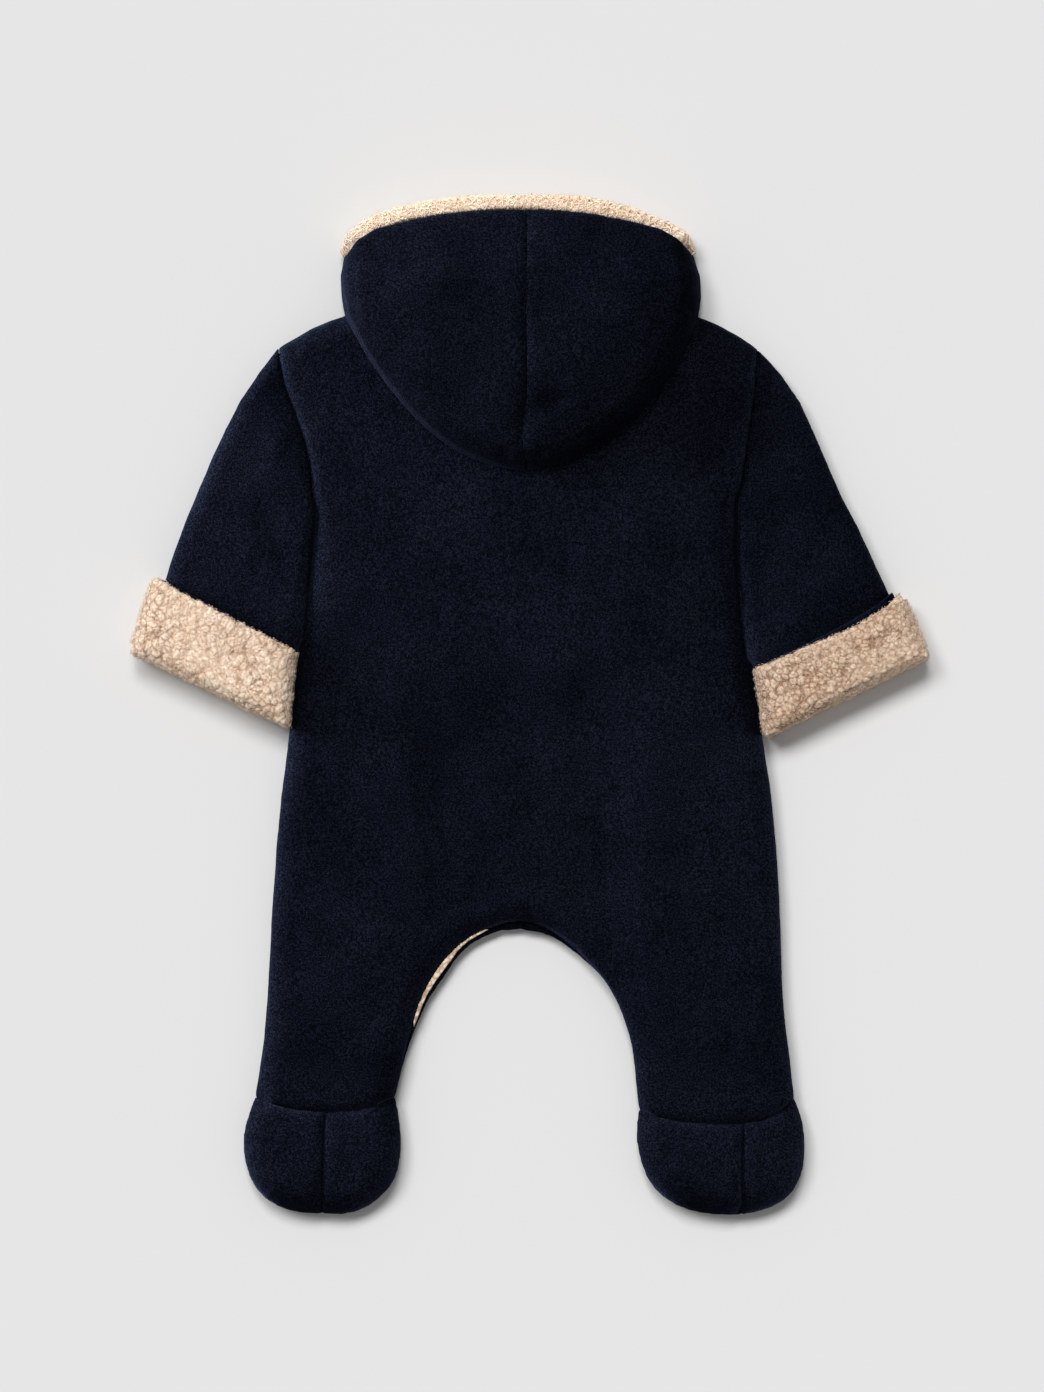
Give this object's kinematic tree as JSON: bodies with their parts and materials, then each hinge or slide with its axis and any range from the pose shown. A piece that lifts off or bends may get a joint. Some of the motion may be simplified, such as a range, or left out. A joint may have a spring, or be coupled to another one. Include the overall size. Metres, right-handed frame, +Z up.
{
  "type": "fleece pramsuit",
  "caption": "Hooded fleece pramsuit for a baby, lined with sherpa, with closed feet and turned-up sleeve ends, laid flat face down with its back up.",
  "frame": {"origin": "centre of the part's plan box, on the surface that it lies on", "axes": "+X to the wearer's right, +Y towards the hood, +Z up out of the back"},
  "size_m": [0.5606, 0.7127, 0.041],
  "materials": {
    "navy_fleece": "brushed fleece with a short nap, matte with a soft sheen",
    "cream_sherpa": "curly sherpa pile, matte"
  },
  "bodies": {
    "root": {"back": "navy_fleece", "front_left": "navy_fleece", "front_right": "navy_fleece", "sleeve_left": "navy_fleece", "sleeve_right": "navy_fleece", "cuff_turn_left": "navy_fleece", "cuff_turn_right": "navy_fleece", "cuff_sherpa_left": "cream_sherpa", "cuff_sherpa_right": "cream_sherpa", "hood_left": "navy_fleece", "hood_right": "navy_fleece", "hood_lining_left": "cream_sherpa", "hood_lining_right": "cream_sherpa", "leg_facing": "cream_sherpa", "foot_left_outer": "navy_fleece", "foot_left_inner": "navy_fleece", "foot_left_front": "navy_fleece", "foot_right_outer": "navy_fleece", "foot_right_inner": "navy_fleece", "foot_right_front": "navy_fleece"}
  },
  "joints": []
}
